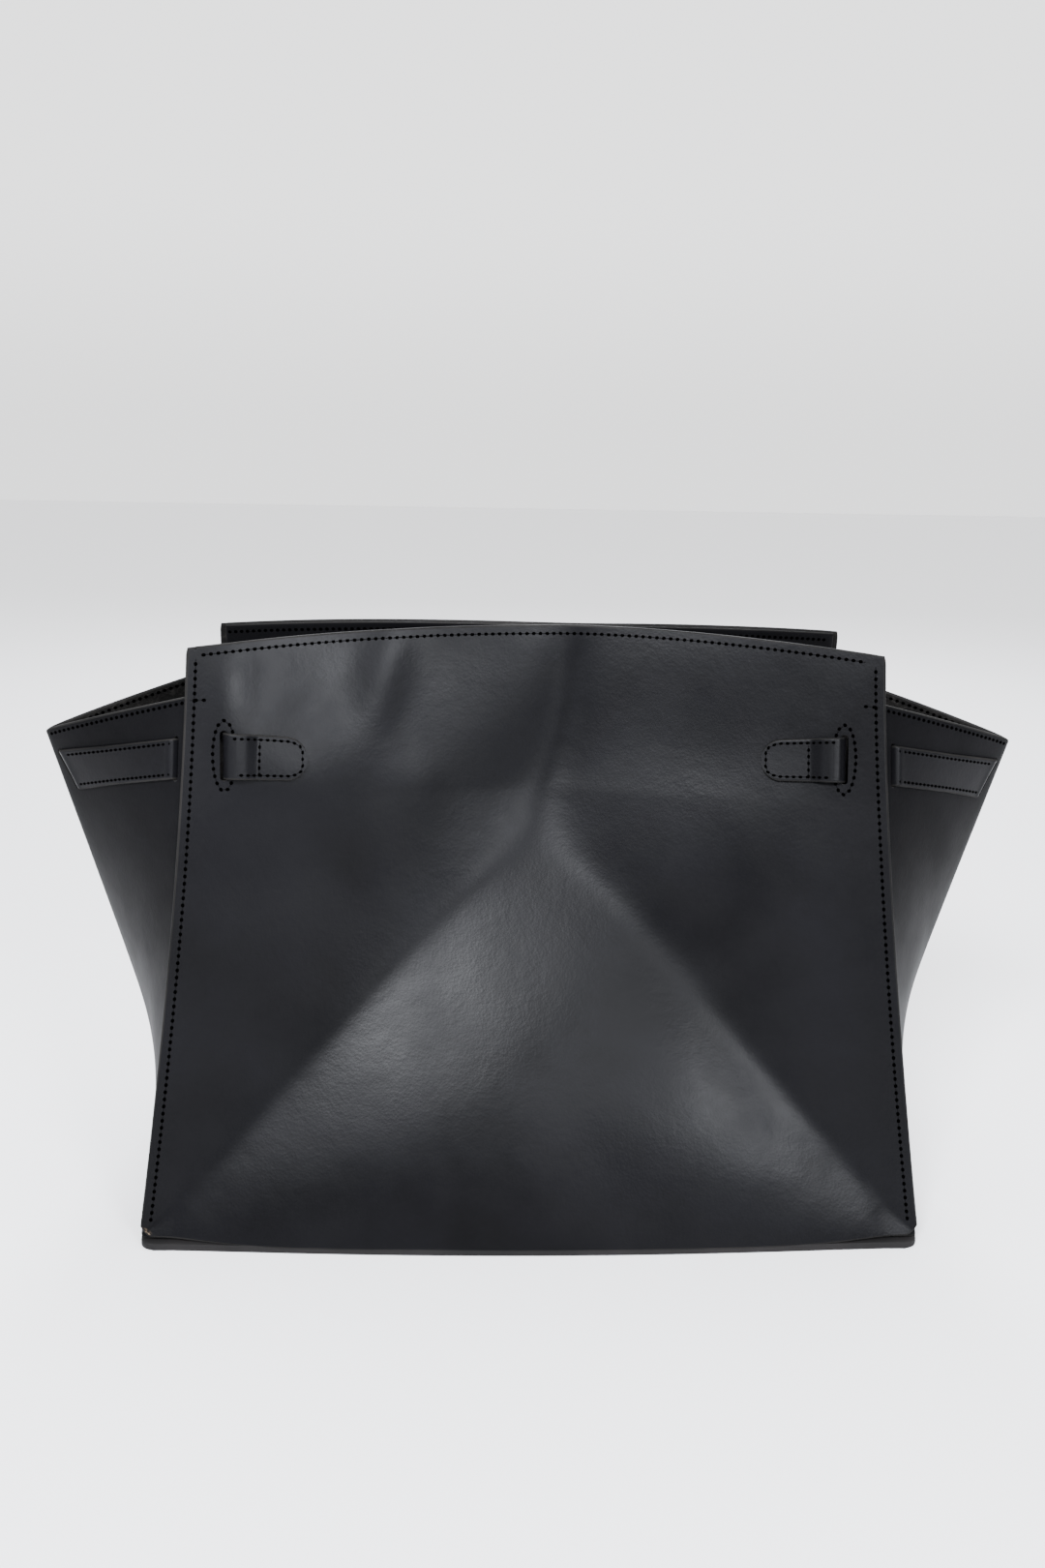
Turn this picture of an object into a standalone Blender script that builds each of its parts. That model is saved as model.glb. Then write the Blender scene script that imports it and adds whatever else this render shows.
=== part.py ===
"""Soft leather satchel: two leaning panels, two folded side gussets, a flat base and two side belts.

Metres, +Z up, the front faces -Y, the origin is the middle of the underside.
"""
import math

import bmesh
import bpy
from mathutils import Matrix, Vector

# driving dimensions
THICK = 0.0022          # panel and gusset leather
GAP = 0.0003            # clearance between pieces that touch
BASE_HALF_DEPTH = 0.0880
FOOT_BELLY = 0.0050     # how far the foot bows forward at its middle
RIM_HALF_DEPTH = 0.0435
RIM_Z = 0.2500          # rim height at the corners
RIM_RISE = 0.0070       # extra height at the middle of the rim
HALF_WIDTH_FOOT = 0.1675
HALF_WIDTH_RIM = 0.1468
SOLE_THICK = 0.0030
PANEL_FOOT_Z = 0.0008   # the panels stop just clear of the ground
PIVOT_Z = 0.0015        # height of the line that a panel turns about
GUSSET_SEAM_Z = 0.2300  # top of the gusset at the panel seam
GUSSET_FOLD_Z = 0.2065  # top of the gusset at its outer fold
FOLD_X_FOOT = 0.1668
FOLD_SLOPE = 0.306
FOLD_START_Z = 0.0400
FLANGE = 0.0068         # gusset edge sewn flat behind the panel
FOLD_SLOT_T = 0.135     # belt slot by the fold, as a share of the way to the seam
FOLD_SLOT_LEAN = 0.040
GUSSET_FOOT_Z = SOLE_THICK + GAP + 0.0013
BELT_THICK = 0.0018
BELT_WIDTH = 0.0170
BELT_Z_SEAM = 0.2045    # centre of the belt at the seam end
BELT_Z_FOLD = 0.1880    # and at the fold end
SLOT_X = 0.1315         # panel slot, from the middle
SLOT_Z = 0.2055
SLOT_TALL = 0.0225
TAB_END_X = 0.0980
FACING_DEEP = 0.0120
CREASE = 0.0032         # softness of the panel's creases


def steps(n, lo=0.0, hi=1.0):
    return [lo + (hi - lo) * i / n for i in range(n + 1)]


def soft_min(a, b, k):
    return 0.5 * (a + b - math.sqrt((a - b) ** 2 + k * k))


def soft_max(a, b, k):
    return 0.5 * (a + b + math.sqrt((a - b) ** 2 + k * k))


def half_width(z):
    down = max(0.0, min(1.0, (RIM_Z - z) / RIM_Z))
    return HALF_WIDTH_RIM + (HALF_WIDTH_FOOT - HALF_WIDTH_RIM) * down ** 1.5


def rim_z(x):
    return RIM_Z + RIM_RISE * (1.0 - min(1.0, abs(x) / HALF_WIDTH_RIM) ** 2.2)


def side_depth(z):
    """Half depth of the bag along the panel's side edges."""
    return BASE_HALF_DEPTH + (RIM_HALF_DEPTH - BASE_HALF_DEPTH) * z / RIM_Z


def belly(x):
    """How far the foot of a panel stands forward of its corners."""
    return FOOT_BELLY * (1 - min(1.0, abs(x) / 0.152) ** 2) ** 1.2


def pinch(x, z):
    """How far the panel stands inside the straight line between its side edges: two side slopes
    that meet in a valley, cut by a triangular facet leaning back to a peak under the rim."""
    w = half_width(z)
    up = max(0.0, min(1.0, (z - 0.050) / 0.207))
    middle = 0.002 + 0.016 * max(0.0, min(1.1, (z - 0.185) / 0.070))
    reach = w + middle if x < middle else w - middle
    away = math.sqrt((x - middle) ** 2 + 0.005 ** 2) - 0.005
    power = 1 + 0.35 * up ** 2
    cone = 0.262 * w * (1 - min(1.0, away / reach) ** power)
    cone += 0.0026 * math.exp(-((x - middle) / 0.027) ** 2 - ((z - 0.187) / 0.026) ** 2)
    s = 1 - min(1.0, abs(x) / 0.160) ** 2
    low, bend = 0.050 * s ** 1.4, 0.010 + 0.036 * s ** 1.4
    foot = soft_max(-low, 0.0, bend) * math.exp(-z / 0.070)
    facet = 0.345 * (soft_max(z - low, 0.0, bend) - foot)
    edge = max(0.05, min(1.0, (w - abs(x)) / 0.020))
    fold = soft_min(cone, facet, CREASE * edge * max(0.0, min(1.0, (cone + facet) / 0.010)))
    return fold - belly(x) * math.exp(-(z / 0.085) ** 2)


def panel_depth(x, z):
    """Half depth at the panel's middle surface."""
    return side_depth(z) - pinch(x, z)


def panel_point(face, u, v):
    """face -1 front, +1 back; u -1..1 across; v 0..1 up."""
    z = PANEL_FOOT_Z + (RIM_Z - PANEL_FOOT_Z) * v
    x = u * half_width(z)
    z = PANEL_FOOT_Z + (rim_z(x) - PANEL_FOOT_Z) * v
    return Vector((x, face * panel_depth(x, z), z))


def panel_at(face, x, z, out=0.0):
    """Point over the outer side of the panel, out from its middle surface."""
    e = 0.001
    p = Vector((x, face * panel_depth(x, z), z))
    px = Vector((x + e, face * panel_depth(x + e, z), z)) - p
    pz = Vector((x, face * panel_depth(x, z + e), z + e)) - p
    n = px.cross(pz).normalized()
    if n.y * face < 0:
        n = -n
    return p + n * out


def fold_x(z):
    a = FOLD_SLOPE * (z - FOLD_START_Z)
    return FOLD_X_FOOT + 0.5 * (a + math.sqrt(a * a + 0.005 ** 2)) - 0.0003


def gusset_seam(z):
    """Where the gusset leaves the panel's inner face, as x and half depth."""
    x = half_width(z) - 0.0020
    return x, side_depth(z) - THICK - GAP - 0.0028


def gusset_surface(side, t, z):
    """t -1 at the front seam, 0 at the outer fold, +1 at the back seam."""
    xs, ys = gusset_seam(z)
    k = 0.04 + 0.16 * max(0.0, 1 - z / 0.09) ** 1.5
    g = (math.sqrt(t * t + k * k) - k) / (math.sqrt(1 + k * k) - k)
    x = xs + (fold_x(z) - xs) * (1 - g)
    return Vector((side * x, t * ys, z))


def gusset_at(side, t, z, out=0.0):
    e = 0.004
    p = gusset_surface(side, t, z)
    a = gusset_surface(side, t + e, z) - gusset_surface(side, t - e, z)
    b = gusset_surface(side, t, z + e) - gusset_surface(side, t, z - e)
    n = a.cross(b).normalized()
    if n.x * side < 0:
        n = -n
    return p + n * out


def gusset_top(t):
    return GUSSET_FOLD_Z + (GUSSET_SEAM_Z - GUSSET_FOLD_Z) * min(1.0, abs(t))


def belt_z(t):
    return BELT_Z_FOLD + (BELT_Z_SEAM - BELT_Z_FOLD) * abs(t)


# scene
for old in list(bpy.data.objects):
    bpy.data.objects.remove(old, do_unlink=True)

cutters = bpy.data.collections.new("cutters")
bpy.context.scene.collection.children.link(cutters)


def material(name, colour, rough, metal=0.0):
    m = bpy.data.materials.new(name)
    m.use_nodes = True
    shader = m.node_tree.nodes["Principled BSDF"]
    shader.inputs["Base Color"].default_value = (*colour, 1.0)
    shader.inputs["Roughness"].default_value = rough
    shader.inputs["Metallic"].default_value = metal
    return m


def add(name, mesh, colour, rough=0.45):
    ob = bpy.data.objects.new(name, mesh)
    bpy.context.scene.collection.objects.link(ob)
    ob.data.materials.append(material("leather_" + name, colour, rough))
    return ob


def strip(name, rows, colour, thick, rough=0.45):
    """A closed piece of leather: a grid of middle points, thickened both ways."""
    bm = bmesh.new()
    grid = [[bm.verts.new(p) for p in row] for row in rows]
    for a, b in zip(grid, grid[1:]):
        for i in range(len(a) - 1):
            bm.faces.new((a[i], a[i + 1], b[i + 1], b[i]))
    mesh = bpy.data.meshes.new(name)
    bm.to_mesh(mesh)
    bm.free()
    ob = add(name, mesh, colour, rough)
    m = ob.modifiers.new("thickness", "SOLIDIFY")
    m.thickness = thick
    m.offset = 0.0
    m.use_even_offset = True
    m.use_quality_normals = True
    return ob


def cut(ob, name, centre, along, normal, size):
    """Cut a rounded slot: along is its long way, normal is the way through."""
    along = along.normalized()
    normal = (normal - along * normal.dot(along)).normalized()
    across = normal.cross(along)
    bm = bmesh.new()
    long, wide, deep = size
    r = wide / 2
    ring = []
    for end in (1, -1):
        for i in range(7):
            a = math.pi * i / 6
            ring.append((end * (long / 2 - r + r * math.sin(a)), end * r * math.cos(a)))
    low = [bm.verts.new(centre + along * p + across * q - normal * deep / 2) for p, q in ring]
    top = [bm.verts.new(centre + along * p + across * q + normal * deep / 2) for p, q in ring]
    bm.faces.new(low[::-1])
    bm.faces.new(top)
    for i in range(len(ring)):
        j = (i + 1) % len(ring)
        bm.faces.new((low[i], low[j], top[j], top[i]))
    bmesh.ops.recalc_face_normals(bm, faces=bm.faces)
    mesh = bpy.data.meshes.new(name)
    bm.to_mesh(mesh)
    bm.free()
    tool = bpy.data.objects.new(name, mesh)
    cutters.objects.link(tool)
    tool.hide_render = True
    tool.display_type = "WIRE"
    m = ob.modifiers.new(name, "BOOLEAN")
    m.operation = "DIFFERENCE"
    m.solver = "EXACT"
    m.object = tool


BLACK = (0.020, 0.020, 0.022)
EDGE = (0.030, 0.027, 0.025)
BELT = (0.024, 0.024, 0.026)
RAW = (0.060, 0.052, 0.046)

PANEL_U = [-1.0, -0.965, -0.93] + steps(20, -0.875, 0.875) + [0.93, 0.965, 1.0]
PANEL_UP = 16
SEAM_CLEAR = 0.0007     # extra room behind the panel's side edges for the curve between grid lines

for face, word in ((-1, "front"), (1, "back")):
    rows = [[panel_point(face, u, v) for u in PANEL_U] for v in steps(PANEL_UP)]
    panel = strip(word + "_panel", rows, BLACK, THICK)
    for side, hand in ((-1, "left"), (1, "right")):
        spot = panel_at(face, side * SLOT_X, SLOT_Z)
        out = panel_at(face, side * SLOT_X, SLOT_Z, 1.0) - spot
        up = panel_at(face, side * SLOT_X, SLOT_Z + 0.005) - spot
        cut(panel, f"slot_{word}_{hand}", spot, up, out, (SLOT_TALL, 0.0042, 0.012))

    inner = -(THICK + GAP + 0.0012 / 2 + 0.0001)
    rows = []
    for v in steps(2):
        row = []
        for u in steps(24, -0.905, 0.905):
            x = u * half_width(RIM_Z)
            z = rim_z(x) - 0.0010 - FACING_DEEP * (1 - v)
            row.append(panel_at(face, x, z, inner))
        rows.append(row)
    strip(word + "_rim_facing", rows, RAW, 0.0012, 0.7)

    for side, hand in ((-1, "left"), (1, "right")):
        # reinforcement behind the slot, with the same slot through it
        rows = []
        for v in steps(6, -1, 1):
            z = SLOT_Z + 0.0155 * v
            half = 0.0036 + 0.0012 * math.sqrt(max(0.0, 1 - v * v))
            rows.append([panel_at(face, side * SLOT_X + half * u, z, inner) for u in steps(4, -1, 1)])
        patch = strip(f"slot_patch_{word}_{hand}", rows, RAW, 0.0012, 0.7)
        spot = panel_at(face, side * SLOT_X, SLOT_Z, inner)
        out = panel_at(face, side * SLOT_X, SLOT_Z, 1.0) - panel_at(face, side * SLOT_X, SLOT_Z)
        up = panel_at(face, side * SLOT_X, SLOT_Z + 0.005) - panel_at(face, side * SLOT_X, SLOT_Z)
        cut(patch, f"patch_slot_{word}_{hand}", spot, up, out, (SLOT_TALL, 0.0042, 0.006))

        # tab: out through the slot, a low loop, then flat on the panel to a rounded end
        flat = THICK / 2 + GAP + BELT_THICK / 2 + 0.0002
        path = [(SLOT_X + 0.0003, -0.0042), (SLOT_X + 0.0003, -0.0010), (SLOT_X + 0.0001, 0.0016),
                (SLOT_X - 0.0012, flat + 0.0016), (SLOT_X - 0.0040, flat + 0.0024),
                (SLOT_X - 0.0085, flat + 0.0018), (SLOT_X - 0.0125, flat)]
        path += [(TAB_END_X + 0.0010 + (SLOT_X - 0.0135 - TAB_END_X) * (1 - i / 6) ** 1.3, flat)
                 for i in range(1, 7)]
        rows = []
        for x, off in path:
            inward = (SLOT_X - x) / (SLOT_X - TAB_END_X)
            tip = max(0.0, (inward - 0.72) / 0.28)
            half = (0.0093 - 0.0008 * inward) * math.sqrt(max(0.02, 1 - tip ** 2.4))
            if inward < 0.05:
                half = 0.0093
            mid = SLOT_Z - 0.0025 * max(0.0, inward)
            rows.append([panel_at(face, side * x, mid + half * q, off) for q in steps(4, -1, 1)])
        strip(f"tab_{word}_{hand}", rows, BELT, BELT_THICK, 0.4)

for side, hand in ((-1, "left"), (1, "right")):
    # gusset: a flange behind each panel, then the folded wall between them
    rows = []
    for v in steps(13):
        row = []
        for face in (-1, 1):
            leg = []
            for i in range(3):
                zt = GUSSET_SEAM_Z
                z = GUSSET_FOOT_Z + (zt - SOLE_THICK - GAP - 0.0004) * v
                x = half_width(z) - 0.0048 - FLANGE * (1 - i / 2)
                p = panel_at(face, side * x, z, -(THICK + GAP + SEAM_CLEAR))
                leg.append(p)
            ts = [1.0, 0.98, 0.93, 0.77, 0.58, 0.40, 0.24, 0.12, 0.045]
            for t in ts:
                z = GUSSET_FOOT_Z + (gusset_top(t) - SOLE_THICK - GAP - 0.0004) * v
                leg.append(gusset_surface(side, face * t, z))
            if face < 0:
                z = GUSSET_FOOT_Z + (gusset_top(0) - SOLE_THICK - GAP - 0.0004) * v
                row += leg + [gusset_surface(side, 0.0, z)]
            else:
                row += leg[::-1]
        rows.append(row)
    gusset = strip("gusset_" + hand, rows, BLACK, THICK)
    for face, word in ((-1, "front"), (1, "back")):
        for t, tag, long in ((0.940, "seam", 0.0210), (FOLD_SLOT_T, "fold", 0.0220)):
            z = belt_z(t)
            spot = gusset_at(side, face * t, z)
            out = gusset_at(side, face * t, z, 1.0) - spot
            up = gusset_at(side, face * (t + (0.0 if tag == "seam" else FOLD_SLOT_LEAN)), z - 0.0085) - spot
            cut(gusset, f"gusset_slot_{word}_{hand}_{tag}", spot, up, out, (long, 0.0042, 0.012))
        # belt run over this half of the gusset, its ends tucked through both slots
        flat = THICK / 2 + GAP + BELT_THICK / 2 + 0.0003
        path = [(0.940, -0.0036), (0.940, -0.0008), (0.936, 0.0016), (0.915, flat + 0.0003)]
        path += [(t, flat) for t in (0.84, 0.70, 0.55, 0.40, 0.30, 0.22)]
        path += [(FOLD_SLOT_T + dt, off) for dt, off in
                 ((0.030, flat + 0.0003), (0.005, 0.0016), (0.0, -0.0008), (0.0, -0.0030))]
        rows = []
        for t, off in path:
            lean = FOLD_SLOT_LEAN * max(0.0, 1 - t / 0.5) / (1 - FOLD_SLOT_T / 0.5)
            row = []
            for q in steps(4, -1, 1):
                z = belt_z(t) + 0.5 * BELT_WIDTH * q
                row.append(gusset_at(side, face * max(0.01, t - lean * q), z, off))
            rows.append(row)
        strip(f"belt_{word}_{hand}", rows, BELT, BELT_THICK, 0.4)


def slab(name, half_x, half_y, z0, z1, radius, colour, rough=0.5, bow=0.0):
    bm = bmesh.new()
    ring = []
    for sx, sy, start in ((1, 1, 0), (-1, 1, 90), (-1, -1, 180), (1, -1, 270)):
        for i in range(7):
            a = math.radians(start + 15 * i)
            ring.append((sx * (half_x - radius) + radius * math.cos(a),
                         sy * (half_y - radius) + radius * math.sin(a)))
        if start in (0, 180):
            run = steps(12, sx * (half_x - radius), -sx * (half_x - radius))[1:-1]
            ring += [(x, sy * (half_y + bow * belly(x))) for x in run]
    low = [bm.verts.new((x, y, z0)) for x, y in ring]
    top = [bm.verts.new((x, y, z1)) for x, y in ring]
    bm.faces.new(low[::-1])
    bm.faces.new(top)
    for i in range(len(ring)):
        j = (i + 1) % len(ring)
        bm.faces.new((low[i], low[j], top[j], top[i]))
    mesh = bpy.data.meshes.new(name)
    bm.to_mesh(mesh)
    bm.free()
    return add(name, mesh, colour, rough)


INNER_Y = BASE_HALF_DEPTH - THICK / 2 - GAP - 0.0004
slab("sole", HALF_WIDTH_FOOT - 0.0010, INNER_Y - 0.0009, 0.0, SOLE_THICK, 0.004, EDGE, bow=1.0)
slab("base_board", HALF_WIDTH_FOOT - 0.0160, INNER_Y - 0.0062,
     SOLE_THICK + GAP, SOLE_THICK + GAP + 0.0020, 0.006, RAW, 0.8)

# each panel, with everything fixed to it, turns about the foot of the panel
for face, word in ((-1, "front"), (1, "back")):
    pivot = bpy.data.objects.new(word + "_pivot", None)
    pivot.location = (0.0, face * BASE_HALF_DEPTH, PIVOT_Z)
    bpy.context.scene.collection.objects.link(pivot)
    for ob in list(bpy.data.objects):
        if ob.type == "MESH" and word in ob.name and not ob.name.startswith(("belt", "gusset")):
            ob.parent = pivot
            ob.matrix_parent_inverse = Matrix.Translation(-pivot.location)
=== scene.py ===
"""Black leather satchel: the looks, on the shared frame. Metres, +Z up, the front faces -Y."""
import math

import bmesh
import bpy
import numpy as np
from mathutils import Matrix, Vector


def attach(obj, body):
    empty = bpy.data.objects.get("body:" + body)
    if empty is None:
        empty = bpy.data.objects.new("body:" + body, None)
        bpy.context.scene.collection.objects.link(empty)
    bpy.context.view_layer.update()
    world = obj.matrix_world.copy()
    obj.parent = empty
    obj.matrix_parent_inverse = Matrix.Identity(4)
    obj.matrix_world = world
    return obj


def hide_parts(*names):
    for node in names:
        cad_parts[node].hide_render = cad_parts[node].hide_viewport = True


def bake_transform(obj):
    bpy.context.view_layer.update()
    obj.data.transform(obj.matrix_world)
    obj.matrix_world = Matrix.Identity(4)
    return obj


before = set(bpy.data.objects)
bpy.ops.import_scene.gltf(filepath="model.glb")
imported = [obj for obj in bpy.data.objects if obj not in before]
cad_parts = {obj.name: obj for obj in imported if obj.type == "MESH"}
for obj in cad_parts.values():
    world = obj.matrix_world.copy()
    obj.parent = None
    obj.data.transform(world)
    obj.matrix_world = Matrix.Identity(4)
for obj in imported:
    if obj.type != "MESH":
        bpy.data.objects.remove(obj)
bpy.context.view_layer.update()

# sizes shared with the solids
THICK = 0.0022          # panel and gusset leather
BASE_HALF_DEPTH, RIM_HALF_DEPTH = 0.0880, 0.0435
FOOT_BELLY = 0.0050     # how far the foot bows forward at its middle
RIM_Z, RIM_RISE = 0.2500, 0.0070
HALF_WIDTH_FOOT, HALF_WIDTH_RIM = 0.1675, 0.1468
SOLE_THICK = 0.0030
GUSSET_SEAM_Z, GUSSET_FOLD_Z = 0.2300, 0.2065
FOLD_X_FOOT, FOLD_SLOPE, FOLD_START_Z = 0.1668, 0.306, 0.0400
BELT_THICK, BELT_WIDTH = 0.0018, 0.0170
BELT_Z_SEAM, BELT_Z_FOLD = 0.2045, 0.1880
SLOT_X, SLOT_Z, SLOT_TALL = 0.1315, 0.2055, 0.0225
TAB_END_X = 0.0980
SEAM_SLOT_T = 0.940     # belt slots, as a share of the way from the fold to the seam
FOLD_SLOT_T, FOLD_SLOT_LEAN = 0.135, 0.040
FACING_THICK = 0.0012   # rim facings and slot patches
CREASE = 0.0032         # softness of the panel's creases

# sizes of the finer work
PANEL_LOW_Z = 0.0016    # the panel's lower edge over the ground
AIR = 0.0003            # between pieces that lie on each other
INSIDE = -(THICK / 2 + AIR + FACING_THICK / 2)      # middle of a facing, from the panel's middle
OVER = THICK / 2 + BELT_THICK / 2 + AIR             # middle of a belt lying on a panel or gusset
SEAM_INSET = 0.0039     # stitching from the panel's edge
PITCH = 0.00306         # one stitch, and on the belts and tabs a smaller one
SMALL_PITCH = 0.0028
SMALL_WIDE = 0.8        # width of the small stitches against the others
SLOT_CUT = (SLOT_TALL - 0.0012, 0.0034, 0.012)      # length, width and depth of a panel's slot
ROUNDING = 0.42         # radius of a cut edge, as a share of the leather's thickness
SHARP = math.radians(50)

FACES = ((-1, "front"), (1, "back"))
SIDES = ((-1, "left"), (1, "right"))


def soft_min(a, b, k):
    return 0.5 * (a + b - np.sqrt((a - b) ** 2 + k * k))


def soft_max(a, b, k):
    return 0.5 * (a + b + np.sqrt((a - b) ** 2 + k * k))


def half_width(z):
    down = np.clip((RIM_Z - z) / RIM_Z, 0, 1)
    return HALF_WIDTH_RIM + (HALF_WIDTH_FOOT - HALF_WIDTH_RIM) * down ** 1.5


def rim_z(x):
    return RIM_Z + RIM_RISE * (1 - np.minimum(1, np.abs(x) / HALF_WIDTH_RIM) ** 2.2)


def side_depth(z):
    return BASE_HALF_DEPTH + (RIM_HALF_DEPTH - BASE_HALF_DEPTH) * z / RIM_Z


def belly(x):
    """How far the foot of a panel stands forward of its corners."""
    return FOOT_BELLY * (1 - np.minimum(1, np.abs(x) / 0.152) ** 2) ** 1.2


def pinch(x, z):
    """How far the panel stands inside the line between its side edges: two side slopes cut by a
    triangular facet that leans back to a peak under the rim, over a foot that turns under."""
    w = half_width(z)
    up = np.clip((z - 0.050) / 0.207, 0, 1)
    middle = 0.002 + 0.016 * np.clip((z - 0.185) / 0.070, 0, 1.1)
    reach = np.where(x < middle, w + middle, w - middle)
    away = np.sqrt((x - middle) ** 2 + 0.005 ** 2) - 0.005
    power = 1 + 0.35 * up ** 2
    cone = 0.262 * w * (1 - np.minimum(1, away / reach) ** power)
    cone = cone + 0.0026 * np.exp(-((x - middle) / 0.027) ** 2 - ((z - 0.187) / 0.026) ** 2)
    s = 1 - np.minimum(1, np.abs(x) / 0.160) ** 2
    low, bend = 0.050 * s ** 1.4, 0.010 + 0.036 * s ** 1.4
    foot = soft_max(-low, 0, bend) * np.exp(-z / 0.070)
    facet = 0.345 * (soft_max(z - low, 0, bend) - foot)
    edge = np.maximum(0.05, np.minimum(1, (w - np.abs(x)) / 0.020))
    fold = soft_min(cone, facet, CREASE * edge * np.clip((cone + facet) / 0.010, 0, 1))
    return fold - belly(x) * np.exp(-(z / 0.085) ** 2)


def bump(x, z, cx, cz, sx, sz, turn=0.0):
    c, s = math.cos(turn), math.sin(turn)
    a, b = (x - cx) * c + (z - cz) * s, -(x - cx) * s + (z - cz) * c
    return np.exp(-(a / sx) ** 2 - (b / sz) ** 2)


def waves(x, z, face):
    """Slow unevenness of hand-cut leather, fading out at the sewn edges."""
    w = half_width(z)
    fade = np.clip((w - np.abs(x)) / 0.03, 0, 1) * np.clip(z / 0.03, 0, 1)
    k = 1.0 if face < 0 else -1.0
    slow = (np.sin(41 * x + 17 * z * k + 0.7) * np.sin(33 * z + 9 * x + 1.9)
            + 0.5 * np.sin(83 * x - 29 * z + 2.1 * k) * np.sin(57 * z + 0.4))
    out = 0.00035 * slow * fade
    if face < 0:
        # soft ridges left of the middle, and hollows under the rim and to its right
        out = out + 0.0016 * bump(x, z, -0.066, 0.236, 0.010, 0.024, -0.25)
        out = out - 0.0022 * bump(x, z, 0.014, 0.226, 0.013, 0.034, -0.10)
        out = out + 0.0008 * bump(x, z, -0.052, 0.190, 0.012, 0.014, 0.3)
        out = out + 0.0024 * bump(x, z, -0.130, 0.228, 0.013, 0.024)
        out = out + 0.0046 * bump(x, z, -0.104, 0.196, 0.032, 0.030)
        out = out - 0.0030 * bump(x, z, 0.072, 0.206, 0.052, 0.034)
    return out


def panel_depth(x, z, face=-1):
    return side_depth(z) - pinch(x, z) + waves(x, z, face)


def panel_at(face, x, z, out=0.0):
    """Points over the panel's outer side, out from its middle surface, with their normals."""
    x, z = np.asarray(x, float), np.asarray(z, float)
    e = 0.0008

    def at(a, b):
        return np.stack([a + 0 * b, face * panel_depth(a, b, face), b + 0 * a], -1)
    p = at(x, z)
    n = np.cross(at(x + e, z) - at(x - e, z), at(x, z + e) - at(x, z - e))
    n = n / np.linalg.norm(n, axis=-1, keepdims=True)
    n = n * np.where(n[..., 1:2] * face < 0, -1, 1)
    return p + n * np.asarray(out)[..., None], n


def fold_x(z):
    a = FOLD_SLOPE * (z - FOLD_START_Z)
    return FOLD_X_FOOT + 0.5 * (a + np.sqrt(a * a + 0.005 ** 2)) - 0.0003


def gusset_surface(side, t, z):
    """t -1 at the front seam, 0 at the outer fold, +1 at the back seam."""
    xs, ys = half_width(z) - 0.0014, side_depth(z) - 0.0034
    k = 0.04 + 0.16 * np.maximum(0, 1 - z / 0.09) ** 1.5
    g = (np.sqrt(t * t + k * k) - k) / (np.sqrt(1 + k * k) - k)
    x = xs + (fold_x(z) - xs) * (1 - g)
    return np.stack([side * x, t * ys, z + 0 * t], -1)


def gusset_at(side, t, z, out=0.0):
    t, z = np.asarray(t, float), np.asarray(z, float)
    e, f = 0.004, 0.002
    p = gusset_surface(side, t, z)
    n = np.cross(gusset_surface(side, t + e, z) - gusset_surface(side, t - e, z),
                 gusset_surface(side, t, z + f) - gusset_surface(side, t, z - f))
    n = n / np.linalg.norm(n, axis=-1, keepdims=True)
    n = n * np.where(n[..., 0:1] * side < 0, -1, 1)
    return p + n * np.asarray(out)[..., None], n


def gusset_top(t):
    return GUSSET_FOLD_Z + (GUSSET_SEAM_Z - GUSSET_FOLD_Z) * np.minimum(1, np.abs(t))


def belt_z(t):
    return BELT_Z_FOLD + (BELT_Z_SEAM - BELT_Z_FOLD) * np.abs(t)


# materials

def shader(name):
    m = bpy.data.materials.new(name)
    m.use_nodes = True
    return m, m.node_tree.nodes, m.node_tree.links, m.node_tree.nodes["Principled BSDF"]


def mix(nodes, links, a, b, factor):
    node = nodes.new("ShaderNodeMix")
    node.data_type = "RGBA"
    for socket, value in ((node.inputs[6], a), (node.inputs[7], b)):
        if isinstance(value, tuple):
            socket.default_value = (*value, 1)
        else:
            links.new(value, socket)
    links.new(factor, node.inputs[0])
    return node.outputs[2]


def ramp(nodes, links, value, lo, hi, out_lo=0.0, out_hi=1.0, smooth=False):
    node = nodes.new("ShaderNodeMapRange")
    if smooth:
        node.interpolation_type = "SMOOTHSTEP"
    for i, v in zip((1, 2, 3, 4), (lo, hi, out_lo, out_hi)):
        node.inputs[i].default_value = v
    links.new(value, node.inputs[0])
    return node.outputs[0]


def reckon(nodes, links, operation, a, b):
    node = nodes.new("ShaderNodeMath")
    node.operation = operation
    links.new(a, node.inputs[0])
    links.new(b, node.inputs[1])
    return node.outputs[0]


def noise(nodes, links, where, scale, detail=4.0, rough=0.55):
    node = nodes.new("ShaderNodeTexNoise")
    node.inputs["Scale"].default_value = scale
    node.inputs["Detail"].default_value = detail
    node.inputs["Roughness"].default_value = rough
    links.new(where, node.inputs["Vector"])
    return node.outputs["Fac"]


def relief(nodes, links, height, strength, distance, under=None):
    node = nodes.new("ShaderNodeBump")
    node.inputs["Strength"].default_value = strength
    node.inputs["Distance"].default_value = distance
    links.new(height, node.inputs["Height"])
    if under:
        links.new(under, node.inputs["Normal"])
    return node.outputs["Normal"]


def rubbed(nodes, links, where, colour):
    """Beige where the finish has worn off the lower left corner."""
    spot = nodes.new("ShaderNodeVectorMath")
    spot.operation = "DISTANCE"
    links.new(where, spot.inputs[0])
    spot.inputs[1].default_value = (-0.1665, -0.0880, 0.0035)
    near = ramp(nodes, links, spot.outputs["Value"], 0.0065, 0.0020)
    patchy = ramp(nodes, links, noise(nodes, links, where, 900.0), 0.42, 0.55)
    return mix(nodes, links, colour, (0.27, 0.20, 0.13), reckon(nodes, links, "MULTIPLY", near, patchy))


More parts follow.
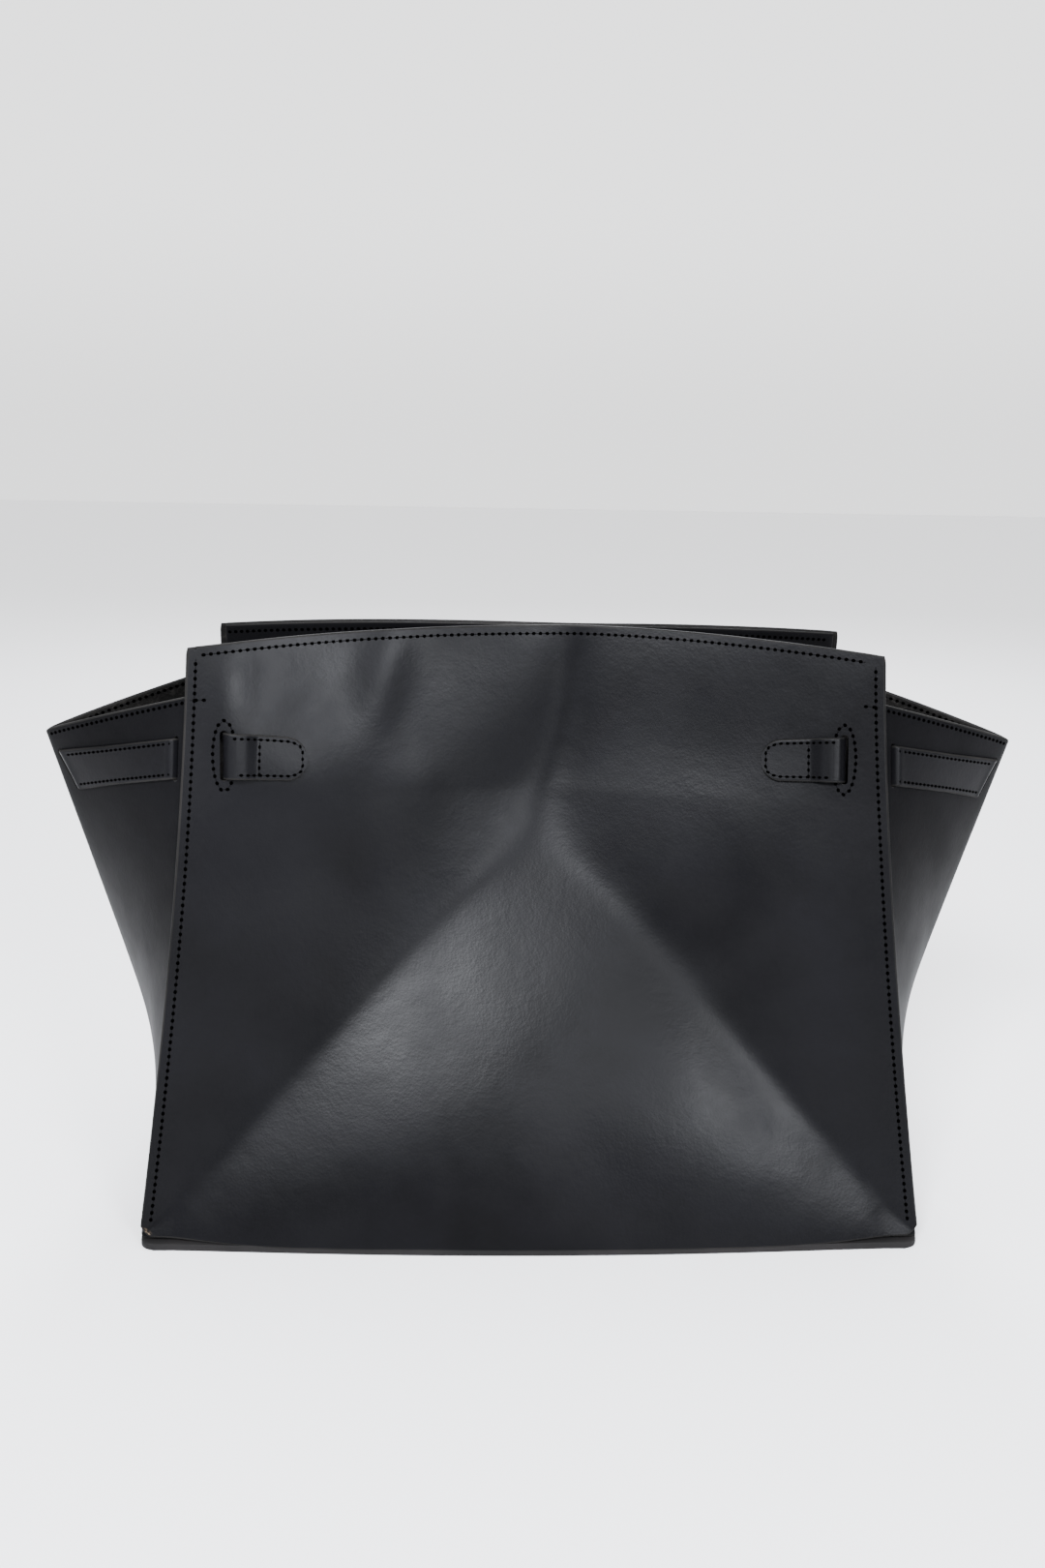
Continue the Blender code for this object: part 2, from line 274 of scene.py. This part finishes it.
def leather(name, dark, light, rough_lo, rough_hi, grain=0.05, wear=False, fibre=False, shine=0.060):
    """dark and light are mixed in soft clouds; fibre is the coarse flesh side of a hide."""
    m, nodes, links, bsdf = shader(name)
    where = nodes.new("ShaderNodeTexCoord").outputs["Object"]
    cloudy = noise(nodes, links, where, 14.0, 5.0)
    fine = noise(nodes, links, where, 420.0, 3.0, 0.6)
    colour = mix(nodes, links, dark, light, ramp(nodes, links, cloudy, 0.35, 0.68))
    if fibre:
        pale = tuple(1.7 * c for c in light)
        colour = mix(nodes, links, colour, pale, ramp(nodes, links, fine, 0.52, 0.75))
    if wear:
        colour = rubbed(nodes, links, where, colour)
    links.new(colour, bsdf.inputs["Base Color"])
    links.new(ramp(nodes, links, noise(nodes, links, where, 30.0, 6.0), 0.3, 0.7, rough_lo, rough_hi),
              bsdf.inputs["Roughness"])
    bsdf.inputs["Specular IOR Level"].default_value = shine
    cells = nodes.new("ShaderNodeTexVoronoi")
    cells.inputs["Scale"].default_value = 900.0
    links.new(where, cells.inputs["Vector"])
    pores = relief(nodes, links, cells.outputs["Distance"], min(1.0, grain * 6),
                   0.00030 if fibre else 0.00006)
    nap = relief(nodes, links, fine, min(1.0, grain * 8), 0.00040 if fibre else 0.00010, pores)
    dimples = relief(nodes, links, noise(nodes, links, where, 55.0, 3.0), 0.35, 0.0005, nap)
    links.new(dimples, bsdf.inputs["Normal"])
    return m


OUTER = leather("leather_outer", (0.0011, 0.0011, 0.0014), (0.0022, 0.0022, 0.0028), 0.32, 0.41, wear=True)
SIDE = leather("leather_gusset", (0.0012, 0.0012, 0.0014), (0.0026, 0.0026, 0.0030), 0.44, 0.54,
               shine=0.030)
FLESH = leather("leather_flesh_side", (0.0022, 0.0021, 0.0020), (0.0056, 0.0052, 0.0048), 0.80, 0.95,
                grain=0.12, fibre=True)
EDGE = leather("leather_edge", (0.0025, 0.0025, 0.0025), (0.009, 0.0085, 0.008), 0.55, 0.75, grain=0.10)
BELT = leather("leather_belt", (0.0015, 0.0015, 0.0018), (0.0030, 0.0030, 0.0036), 0.35, 0.45)
SOLE = leather("leather_sole", (0.006, 0.006, 0.006), (0.012, 0.011, 0.011), 0.55, 0.75, grain=0.08)
BOARD = leather("leather_board", (0.030, 0.027, 0.024), (0.055, 0.047, 0.040), 0.80, 0.95,
                grain=0.12, fibre=True)
THREAD = leather("waxed_thread", (0.0012, 0.0012, 0.0014), (0.0024, 0.0024, 0.0028), 0.60, 0.75,
                 grain=0.10, shine=0.03)
# needle holes: near-black painted shade standing in for the shade inside each hole
HOLE_SHADE = leather("needle_hole_shade", (0.0001, 0.0001, 0.0001), (0.0002, 0.0002, 0.0002), 0.90, 0.98, shine=0.0)


# meshes

def link(name, mesh):
    ob = bpy.data.objects.new(name, mesh)
    bpy.context.scene.collection.objects.link(ob)
    return ob


def finish_mesh(name, verts, faces, kinds, mats):
    mesh = bpy.data.meshes.new(name)
    mesh.from_pydata(verts.reshape(-1, 3).tolist(), [], faces)
    for m in mats:
        mesh.materials.append(m)
    mesh.polygons.foreach_set("material_index", kinds)
    mesh.polygons.foreach_set("use_smooth", [True] * len(faces))
    mesh.update()
    bm = bmesh.new()
    bm.from_mesh(mesh)
    bmesh.ops.recalc_face_normals(bm, faces=bm.faces)
    bm.to_mesh(mesh)
    bm.free()
    mesh.set_sharp_from_angle(angle=SHARP)
    return link(name, mesh)


def prism(ring, place):
    """A bmesh of an outline carried through two levels; place(p, q, level) gives a corner's position."""
    bm = bmesh.new()
    low = [bm.verts.new(place(p, q, 0)) for p, q in ring]
    top = [bm.verts.new(place(p, q, 1)) for p, q in ring]
    bm.faces.new(low[::-1])
    bm.faces.new(top)
    for i in range(len(ring)):
        j = (i + 1) % len(ring)
        bm.faces.new((low[i], low[j], top[j], top[i]))
    return bm


def outward(edge, inner):
    d = edge - inner
    return d / np.maximum(1e-9, np.linalg.norm(d, axis=-1, keepdims=True))


def hide(name, grid, normal, thick, mats, joined=False):
    """A closed piece of leather round a grid of middle points, with rounded edges.

    mats are for its outer side, inner side and edges. joined leaves the last column square, where
    the other half of a folded piece carries on.
    """
    rows, cols = grid.shape[:2]
    r = thick * ROUNDING
    tangent = np.zeros_like(grid)
    tangent[0] += outward(grid[0], grid[1])
    tangent[-1] += outward(grid[-1], grid[-2])
    tangent[:, 0] += outward(grid[:, 0], grid[:, 1])
    if not joined:
        tangent[:, -1] += outward(grid[:, -1], grid[:, -2])
    core = grid - tangent * r
    verts = [(core + normal * half).reshape(-1, 3) for half in (thick / 2, -thick / 2)]
    n = rows * cols
    faces, kinds = [], []
    for k in range(2):
        for i in range(rows - 1):
            for j in range(cols - 1):
                a = k * n + i * cols + j
                quad = (a, a + 1, a + cols + 1, a + cols)
                faces.append(quad if k == 0 else quad[::-1])
                kinds.append(k)
    ring = [(0, j) for j in range(cols)] + [(i, cols - 1) for i in range(1, rows)]
    ring += [(rows - 1, j) for j in range(cols - 2, -1, -1)] + [(i, 0) for i in range(rows - 2, 0, -1)]
    ri, rj = np.array(ring).T
    loops = [ri * cols + rj]
    total = 2 * n
    for a in np.radians((50, 0, -50)):
        rim = normal[ri, rj] * thick / 2 * math.sin(a) + tangent[ri, rj] * r * math.cos(a)
        verts.append(core[ri, rj] + rim)
        loops.append(total + np.arange(len(ring)))
        total += len(ring)
    loops.append(n + ri * cols + rj)
    for a, b in zip(loops, loops[1:]):
        for i in range(len(ring)):
            j = (i + 1) % len(ring)
            faces.append((int(a[i]), int(b[i]), int(b[j]), int(a[j])))
            kinds.append(2)
    return finish_mesh(name, np.concatenate(verts), faces, kinds, mats)


def slot_tool(ob, centre, along, through, size):
    """A rounded bar through the piece: along is its long way, through the way it cuts."""
    along = Vector(along).normalized()
    through = Vector(through)
    through = (through - along * through.dot(along)).normalized()
    across = through.cross(along)
    long, wide, deep = size
    centre = Vector(centre)
    r = wide / 2
    ring = []
    for end in (1, -1):
        for a in np.linspace(0, math.pi, 13):
            ring.append((end * (long / 2 - r + r * math.sin(a)), end * r * math.cos(a)))
    bm = prism(ring, lambda p, q, level: centre + along * p + across * q + through * deep * (level - 0.5))
    bmesh.ops.recalc_face_normals(bm, faces=bm.faces)
    mesh = bpy.data.meshes.new("slot_tool")
    bm.to_mesh(mesh)
    bm.free()
    for m in ob.data.materials:
        mesh.materials.append(m)
    for f in mesh.polygons:
        f.material_index = 2
    return link("slot_tool", mesh)


def cut_slots(ob, slots):
    tools = [slot_tool(ob, *slot) for slot in slots]
    for tool in tools:
        m = ob.modifiers.new("slot", "BOOLEAN")
        m.operation, m.solver, m.object = "DIFFERENCE", "EXACT", tool
    graph = bpy.context.evaluated_depsgraph_get()
    mesh = bpy.data.meshes.new_from_object(ob.evaluated_get(graph))
    ob.modifiers.clear()
    ob.data = mesh
    for tool in tools:
        bpy.data.objects.remove(tool, do_unlink=True)


def ball(rings=5, around=8):
    """Points and triangles or quads of a unit ball."""
    v = [(0, 0, 1)]
    for i in range(1, rings):
        a = math.pi * i / rings
        for j in range(around):
            b = 2 * math.pi * j / around
            v.append((math.sin(a) * math.cos(b), math.sin(a) * math.sin(b), math.cos(a)))
    v.append((0, 0, -1))
    f = [(0, 1 + j, 1 + (j + 1) % around) for j in range(around)]
    for i in range(rings - 2):
        for j in range(around):
            a, b = 1 + i * around + j, 1 + i * around + (j + 1) % around
            f.append((a, a + around, b + around, b))
    last = len(v) - 1
    f += [(last, last - around + (j + 1) % around, last - around + j) for j in range(around)]
    return np.array(v), f


BALL_V, BALL_F = ball()


def along_path(points, normals, pitch):
    """Evenly spaced places on a dense line, with their normals."""
    seg = np.linalg.norm(np.diff(points, axis=0), axis=1)
    s = np.concatenate([[0], np.cumsum(seg)])
    count = max(2, int(round(s[-1] / pitch)))
    at = np.linspace(0, s[-1], count + 1)
    p = np.stack([np.interp(at, s, points[:, i]) for i in range(3)], -1)
    q = np.stack([np.interp(at, s, normals[:, i]) for i in range(3)], -1)
    q /= np.linalg.norm(q, axis=1, keepdims=True)
    return p, q


def stitches(name, rows, pitch=PITCH, wide=1.0):
    """Rows of saddle stitches: a thread between holes, and at each hole a near-black patch of painted
    shade standing in for its recess.
    """
    verts, faces, kinds, base = [], [], [], 0
    for points, normals in rows:
        p, n = along_path(points, normals, pitch)
        d = np.diff(p, axis=0)
        length = np.linalg.norm(d, axis=1, keepdims=True)
        d = d / length
        for i in range(len(p) - 1):
            mid, m = (p[i] + p[i + 1]) / 2, n[i] + n[i + 1]
            m = m / np.linalg.norm(m)
            axes = np.stack([d[i], np.cross(m, d[i]), m])
            thread = (length[i, 0] / 2 - 0.00060, 0.00030 * wide, 0.00024)
            # each needle hole is a flat near-black ball just over the surface: painted shade for the
            # hole's recess, not a cut
            shaded_hole = (0.00098, 0.00080 * wide, 0.00014)
            for kind, centre, size in ((0, mid - m * 0.00012, thread), (1, p[i] + m * 0.00002, shaded_hole)):
                verts.append(centre + (BALL_V * np.array(size)) @ axes)
                faces += [tuple(base + k for k in f) for f in BALL_F]
                kinds += [kind] * len(BALL_F)
                base += len(BALL_V)
    return finish_mesh(name, np.concatenate(verts), faces, kinds, (THREAD, HOLE_SHADE))


def uneven(n, share):
    """n+1 values from 0 to 1, closer together near both ends."""
    t = np.linspace(0, 1, n + 1)
    return t - share * np.sin(2 * np.pi * t) / (2 * np.pi)


def softened(values, times):
    """The same run of values with its inner corners rounded off."""
    for _ in range(times):
        values[1:-1] = (values[:-2] + 2 * values[1:-1] + values[2:]) / 4
    return values


# pieces fixed to a panel

def panel_slot(face, side):
    p, n = panel_at(face, side * SLOT_X, SLOT_Z)
    q, _ = panel_at(face, side * SLOT_X, SLOT_Z + 0.004)
    return p, q - p, n, SLOT_CUT


def make_panel(face, word):
    u = (2 * uneven(170, 0.45) - 1)[None, :]
    v = uneven(150, 0.45)[:, None]
    x = u * half_width(PANEL_LOW_Z + (RIM_Z - PANEL_LOW_Z) * v)
    # the bottom corners are cut round and curl up a little
    corner = np.clip((np.abs(u) - 0.955) / 0.045, 0, 1)
    curl = 0.0030 * np.exp(-((np.abs(x) - 0.1600) / 0.030) ** 2) * (1 if face < 0 else 0.5)
    low = PANEL_LOW_Z + curl + 0.0050 * corner ** 3
    z = low + (rim_z(x) - low) * v
    x = u * half_width(z) - np.sign(u) * 0.0018 * (1 - np.clip(z / 0.009, 0, 1)) ** 2
    # the rim's corners are eased
    ease = np.clip((z - rim_z(x) + 0.004) / 0.004, 0, 1) ** 2 * (np.abs(u) > 0.98)
    x = x * (1 - 0.004 * ease)
    grid, normal = panel_at(face, x, z)
    panel = hide(word + "_panel_skin", grid, normal, THICK, (OUTER, FLESH, EDGE))
    cut_slots(panel, [panel_slot(face, side) for side, _ in SIDES])
    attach(panel, word)
    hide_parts(word + "_panel")


def sew_panel(face, word):
    """Stitches down both sides, along the rim, across the gussets' tops and round the slots."""
    rows = []
    for side in (-1, 1):
        z = np.linspace(0.012, 0.2462, 160)
        rows.append(panel_at(face, side * (half_width(z) - SEAM_INSET), z, THICK / 2))
    end = HALF_WIDTH_RIM - SEAM_INSET - 0.003
    x = np.linspace(-end, end, 200)
    rows.append(panel_at(face, x, rim_z(x) - SEAM_INSET, THICK / 2))
    for side in (-1, 1):
        x = side * np.linspace(0.1395, 0.1460, 20)
        rows.append(panel_at(face, x, 0 * x + 0.2285, THICK / 2))
        a = np.linspace(0, 2 * np.pi, 90)
        x, z = side * SLOT_X + 0.0046 * np.sin(a), SLOT_Z + 0.0146 * np.cos(a)
        rows.append(panel_at(face, x, z, THICK / 2))
    sewn = stitches(word + "_panel_stitches", rows)
    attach(sewn, word)


def make_rim_facing(face, word):
    """The strip inside the rim, with the other side of the rim's stitches."""
    u = np.linspace(-0.975, 0.975, 140)[None, :]
    v = np.linspace(0, 1, 8)[:, None]
    x = u * HALF_WIDTH_RIM + 0 * v
    grid, normal = panel_at(face, x, rim_z(x) - 0.0006 - 0.0130 * (1 - v), INSIDE)
    facing = hide(word + "_rim_facing_strip", grid, normal, FACING_THICK, (FLESH, SIDE, EDGE))
    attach(facing, word)
    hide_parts(word + "_rim_facing")
    x = np.linspace(-0.141, 0.141, 170)
    points, normals = panel_at(face, x, rim_z(x) - SEAM_INSET, INSIDE - FACING_THICK / 2)
    sewn = stitches(word + "_rim_inner_stitches", [(points, -normals)])
    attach(sewn, word)


def make_slot_patch(face, word, side, hand):
    """The reinforcement behind a slot."""
    v = np.linspace(-1, 1, 28)[:, None]
    u = np.linspace(-1, 1, 10)[None, :]
    half = 0.0036 + 0.0012 * np.sqrt(np.maximum(0, 1 - v ** 2))
    grid, normal = panel_at(face, side * SLOT_X + half * u, SLOT_Z + 0.0155 * v + 0 * u, INSIDE)
    patch = hide(f"slot_patch_{word}_{hand}_piece", grid, normal, FACING_THICK, (FLESH, SIDE, EDGE))
    cut_slots(patch, [panel_slot(face, side)])
    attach(patch, word)
    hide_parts(f"slot_patch_{word}_{hand}")


def tab_run():
    """A tab's places inward from its slot, and how far each stands out from the panel."""
    bend = [(-0.0004, -0.0042), (-0.0004, -0.0010), (-0.0001, 0.0014), (0.0014, OVER + 0.0014),
            (0.0042, OVER + 0.0024), (0.0088, OVER + 0.0018), (0.0128, OVER), (0.0150, OVER)]
    key_x, key_out = zip(*[(SLOT_X - inward, out) for inward, out in bend])
    s = np.linspace(0, len(bend) - 1, 46)
    x = softened(np.interp(s, range(len(bend)), key_x), 2)
    out = softened(np.interp(s, range(len(bend)), key_out), 2)
    tail = 1 - (1 - np.linspace(0, 1, 26)[1:]) ** 1.6
    x = np.concatenate([x, key_x[-1] + (TAB_END_X - key_x[-1]) * tail])
    return x, np.concatenate([out, 0 * tail + OVER])


def make_tab(face, word, side, hand):
    """Out of the slot, a low loop, then flat to its rounded end."""
    x, out = tab_run()
    inward = np.clip((SLOT_X - x) / (SLOT_X - TAB_END_X), 0, 1)
    tip = np.clip((inward - 0.74) / 0.26, 0, 1)
    half = (0.0096 - 0.0009 * inward) * np.sqrt(np.maximum(0.03, 1 - tip ** 2.2))
    q = np.linspace(-1, 1, 17)[:, None]
    z = (SLOT_Z - 0.0030 * inward)[None, :] + half[None, :] * q
    grid, normal = panel_at(face, side * x[None, :] + 0 * q, z, out[None, :] + 0 * q)
    tab = hide(f"tab_{word}_{hand}_piece", grid, normal, BELT_THICK, (BELT, FLESH, EDGE))
    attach(tab, word)
    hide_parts(f"tab_{word}_{hand}")

    start = SLOT_X - 0.0040
    ex = start + (TAB_END_X + 0.0022 - start) * np.linspace(0, 1, 60)
    lift = np.interp(-ex, -x, out) + BELT_THICK / 2
    k = np.clip((start - ex) / (SLOT_X - TAB_END_X) + 0.12, 0, 1)
    cap = np.clip((k - 0.74) / 0.24, 0, 1)
    half = (0.0075 - 0.0007 * k) * np.sqrt(np.maximum(0.0, 1 - cap ** 2.2))
    mid = SLOT_Z - 0.0030 * k
    loop_x = np.concatenate([ex, ex[::-1]])
    loop_z = np.concatenate([mid + half, (mid - half)[::-1]])
    rows = [panel_at(face, side * loop_x, loop_z, np.concatenate([lift, lift[::-1]]))]
    # the cross row that holds the loop down
    z = np.linspace(-0.0070, 0.0070, 20)
    x = 0 * z + SLOT_X - 0.0140
    rows.append(panel_at(face, side * x, SLOT_Z - 0.0012 + z, OVER + BELT_THICK / 2 + 0 * z))
    sewn = stitches(f"tab_{word}_{hand}_stitches", rows, SMALL_PITCH, SMALL_WIDE)
    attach(sewn, word)


# pieces shaped between the base and a panel, baked in place

def make_gusset_half(side, hand, face, word):
    """A flange sewn behind the panel, a tight turn, then the wall out to the fold."""
    v = uneven(90, 0.3)
    foot = SOLE_THICK + 0.0008
    cols = []
    for i in range(6):
        z = foot + (GUSSET_SEAM_Z - foot) * v
        x = half_width(z) - 0.0042 - 0.0070 * (1 - i / 5)
        cols.append(panel_at(face, side * x, z, -(THICK + 0.0004))[0])
    for t in np.concatenate([[1.0, 0.985], 1 - (1 - np.linspace(1, 0, 44) ** 1.35)[1:]]):
        z = foot + (gusset_top(t) - foot) * v
        cols.append(gusset_surface(side, face * t + 0 * z, z))
    grid = np.stack(cols, 1)
    normal = np.cross(np.gradient(grid, axis=1), np.gradient(grid, axis=0))
    normal /= np.linalg.norm(normal, axis=-1, keepdims=True)
    middle = normal[len(v) // 2, len(cols) // 2]
    if middle @ np.array([side, face * 0.2, 0]) < 0:
        normal = -normal
    # the two halves share the fold's own normal
    normal[:, -1] = gusset_at(side, 0 * v, foot + (GUSSET_FOLD_Z - foot) * v)[1]
    gusset = hide(f"gusset_{hand}_{word}_half", grid, normal, THICK, (SIDE, FLESH, EDGE), joined=True)
    slots = []
    for t, lean, size in ((SEAM_SLOT_T, 0.0, (0.0190, 0.0030, 0.012)),
                          (FOLD_SLOT_T - 0.008, FOLD_SLOT_LEAN, (0.0205, 0.0044, 0.012))):
        p, n = gusset_at(side, face * t, belt_z(t))
        q, _ = gusset_at(side, face * (t + lean), belt_z(t) - 0.0085)
        slots.append((p, q - p, n, size))
    cut_slots(gusset, slots)
    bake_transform(gusset)
    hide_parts("gusset_" + hand)

    # stitches along its top, outside and inside
    t = face * np.linspace(0.97, 0.03, 120)
    points, normals = gusset_at(side, t, gusset_top(t) - 0.0026, -THICK / 2)
    rows = [gusset_at(side, t, gusset_top(t) - 0.0026, THICK / 2), (points, -normals)]
    sewn = stitches(f"gusset_{hand}_{word}_stitches", rows)
    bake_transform(sewn)


def belt_run():
    """A belt's places from the seam slot to the fold slot, and how far each stands out."""
    bends = [(SEAM_SLOT_T, -0.0040, 5), (SEAM_SLOT_T, -0.0008, 4), (SEAM_SLOT_T - 0.003, 0.0016, 5),
             (SEAM_SLOT_T - 0.024, OVER + 0.0003, 5), (0.88, OVER, 40), (0.20, OVER, 6),
             (FOLD_SLOT_T + 0.030, OVER + 0.0003, 6), (FOLD_SLOT_T + 0.005, 0.0016, 4),
             (FOLD_SLOT_T, -0.0008, 5), (FOLD_SLOT_T, -0.0044, 1)]
    t, out = [], []
    for (t0, out0, parts), (t1, out1, _) in zip(bends, bends[1:]):
        t.append(np.linspace(t0, t1, parts, endpoint=False))
        out.append(np.linspace(out0, out1, parts, endpoint=False))
    t, out = np.concatenate(t + [bends[-1][:1]]), np.concatenate(out + [bends[-1][1:2]])
    return softened(t, 3), softened(out, 3)


def make_belt(side, hand, face, word):
    """Over this half of the gusset, its ends tucked through both slots."""
    t, out = belt_run()
    lean = FOLD_SLOT_LEAN * np.maximum(0, 1 - t / 0.5) / (1 - FOLD_SLOT_T / 0.5)
    q = np.linspace(-1, 1, 15)[:, None]
    across = np.maximum(0.01, t[None, :] - lean[None, :] * q)
    z = belt_z(t)[None, :] + 0.5 * BELT_WIDTH * q
    grid, normal = gusset_at(side, face * across, z, out[None, :] + 0 * q)
    belt = hide(f"belt_{word}_{hand}_run", grid, normal, BELT_THICK, (BELT, FLESH, EDGE))
    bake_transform(belt)
    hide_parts(f"belt_{word}_{hand}")
    rows = []
    t = np.linspace(0.915, 0.175, 90)
    for q in (-0.0064, 0.0064):
        shift = FOLD_SLOT_LEAN * np.maximum(0, 1 - t / 0.5) * q / 0.0085
        rows.append(gusset_at(side, face * (t - shift), belt_z(t) + q, OVER + BELT_THICK / 2))
    sewn = stitches(f"belt_{word}_{hand}_stitches", rows, SMALL_PITCH, SMALL_WIDE)
    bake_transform(sewn)


# base

def slab(name, half_x, half_y, z0, z1, radius, round_over, mat, bow=0.0):
    """A flat rounded plate; bow is how much of the panels' belly its long edges follow."""
    ring = []
    for sx, sy, start in ((1, 1, 0), (-1, 1, 90), (-1, -1, 180), (1, -1, 270)):
        for i in range(9):
            a = math.radians(start + 11.25 * i)
            ring.append((sx * (half_x - radius) + radius * math.cos(a),
                         sy * (half_y - radius) + radius * math.sin(a)))
        if start in (0, 180):
            run = np.linspace(sx * (half_x - radius), -sx * (half_x - radius), 41)[1:-1]
            ring += [(x, sy * (half_y + bow * belly(x))) for x in run]
    bm = prism(ring, lambda x, y, level: (x, y, (z0, z1)[level]))
    edges = [e for e in bm.edges if abs(e.verts[0].co.z - e.verts[1].co.z) < 1e-6]
    bmesh.ops.bevel(bm, geom=edges, offset=round_over, segments=3, affect="EDGES", profile=0.5)
    mesh = bpy.data.meshes.new(name)
    bm.to_mesh(mesh)
    bm.free()
    mesh.materials.append(mat)
    mesh.polygons.foreach_set("use_smooth", [True] * len(mesh.polygons))
    mesh.set_sharp_from_angle(angle=math.radians(40))
    return link(name, mesh)


for face, word in FACES:
    make_panel(face, word)
    sew_panel(face, word)
    make_rim_facing(face, word)
    for side, hand in SIDES:
        make_slot_patch(face, word, side, hand)
        make_tab(face, word, side, hand)

for side, hand in SIDES:
    for face, word in FACES:
        make_gusset_half(side, hand, face, word)
        make_belt(side, hand, face, word)

sole = slab("sole_piece", HALF_WIDTH_FOOT - 0.0008, BASE_HALF_DEPTH + 0.0004, 0.0, SOLE_THICK,
            0.006, 0.0006, SOLE, bow=1.0)
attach(sole, "base")
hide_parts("sole")
board = slab("base_board_piece", HALF_WIDTH_FOOT - 0.0155, BASE_HALF_DEPTH - 0.0070,
             SOLE_THICK + 0.0002, SOLE_THICK + 0.0024, 0.006, 0.0004, BOARD)
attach(board, "base")
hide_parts("base_board")


# floor, light and camera

bpy.ops.mesh.primitive_plane_add(size=14, location=(0, 0, -0.0002))
floor = bpy.context.object
floor.name = "floor"
pale, _, _, bsdf = shader("pale_floor")
bsdf.inputs["Base Color"].default_value = (0.76, 0.76, 0.77, 1)
bsdf.inputs["Roughness"].default_value = 0.75
floor.data.materials.append(pale)

# the room is brighter behind the bag and overhead, and a little darker at the horizon
world = bpy.data.worlds.new("studio")
bpy.context.scene.world = world
world.use_nodes = True
nodes, links = world.node_tree.nodes, world.node_tree.links
facing = nodes.new("ShaderNodeSeparateXYZ")
links.new(nodes.new("ShaderNodeTexCoord").outputs["Generated"], facing.inputs[0])
behind = ramp(nodes, links, facing.outputs["Y"], 0.05, 0.85, 0.32, 2.45, smooth=True)
overhead = ramp(nodes, links, facing.outputs["Z"], 0.72, 0.98, 0.0, 5.0, smooth=True)
horizon = ramp(nodes, links, facing.outputs["Z"], 0.0, 0.16, 0.80, 1.0, smooth=True)
level = reckon(nodes, links, "ADD", reckon(nodes, links, "MULTIPLY", behind, horizon), overhead)
nodes["Background"].inputs["Color"].default_value = (0.94, 0.945, 0.955, 1)
links.new(level, nodes["Background"].inputs["Strength"])


def lamp(name, where, target, size, power, colour):
    data = bpy.data.lights.new(name, "AREA")
    data.shape = "RECTANGLE"
    data.size, data.size_y = size
    data.energy = power
    data.color = colour
    ob = link(name, data)
    ob.location = where
    ob.rotation_euler = (Vector(target) - Vector(where)).to_track_quat("-Z", "Y").to_euler()


lamp("key_box", (-0.42, -1.42, 1.20), (0, 0, 0.12), (0.62, 0.40), 124, (0.93, 0.95, 1.0))
lamp("side_box", (0.67, -1.42, 0.70), (0, 0, 0.19), (0.34, 0.26), 38, (0.93, 0.95, 1.0))
lamp("back_box", (0.15, 1.45, 1.30), (0, 0, 0.14), (0.60, 0.40), 40, (0.92, 0.94, 1.0))

CAMERA_AT = (-0.0294, -0.6454, 0.3355)
yaw, pitch, roll = math.radians(2.21), math.radians(13.26), math.radians(1.04)
ahead = Vector((math.sin(yaw) * math.cos(pitch), math.cos(yaw) * math.cos(pitch), -math.sin(pitch)))
level_right = Vector((math.cos(yaw), -math.sin(yaw), 0))
level_up = level_right.cross(ahead)
right = level_right * math.cos(roll) + level_up * math.sin(roll)
up = level_up * math.cos(roll) - level_right * math.sin(roll)
lens = bpy.data.cameras.new("camera")
lens.lens = 33.33
lens.sensor_width = 36
lens.clip_start = 0.01
cam = link("camera", lens)
cam.matrix_world = Matrix.Translation(CAMERA_AT) @ Matrix((right, up, -ahead)).transposed().to_4x4()
bpy.context.scene.camera = cam
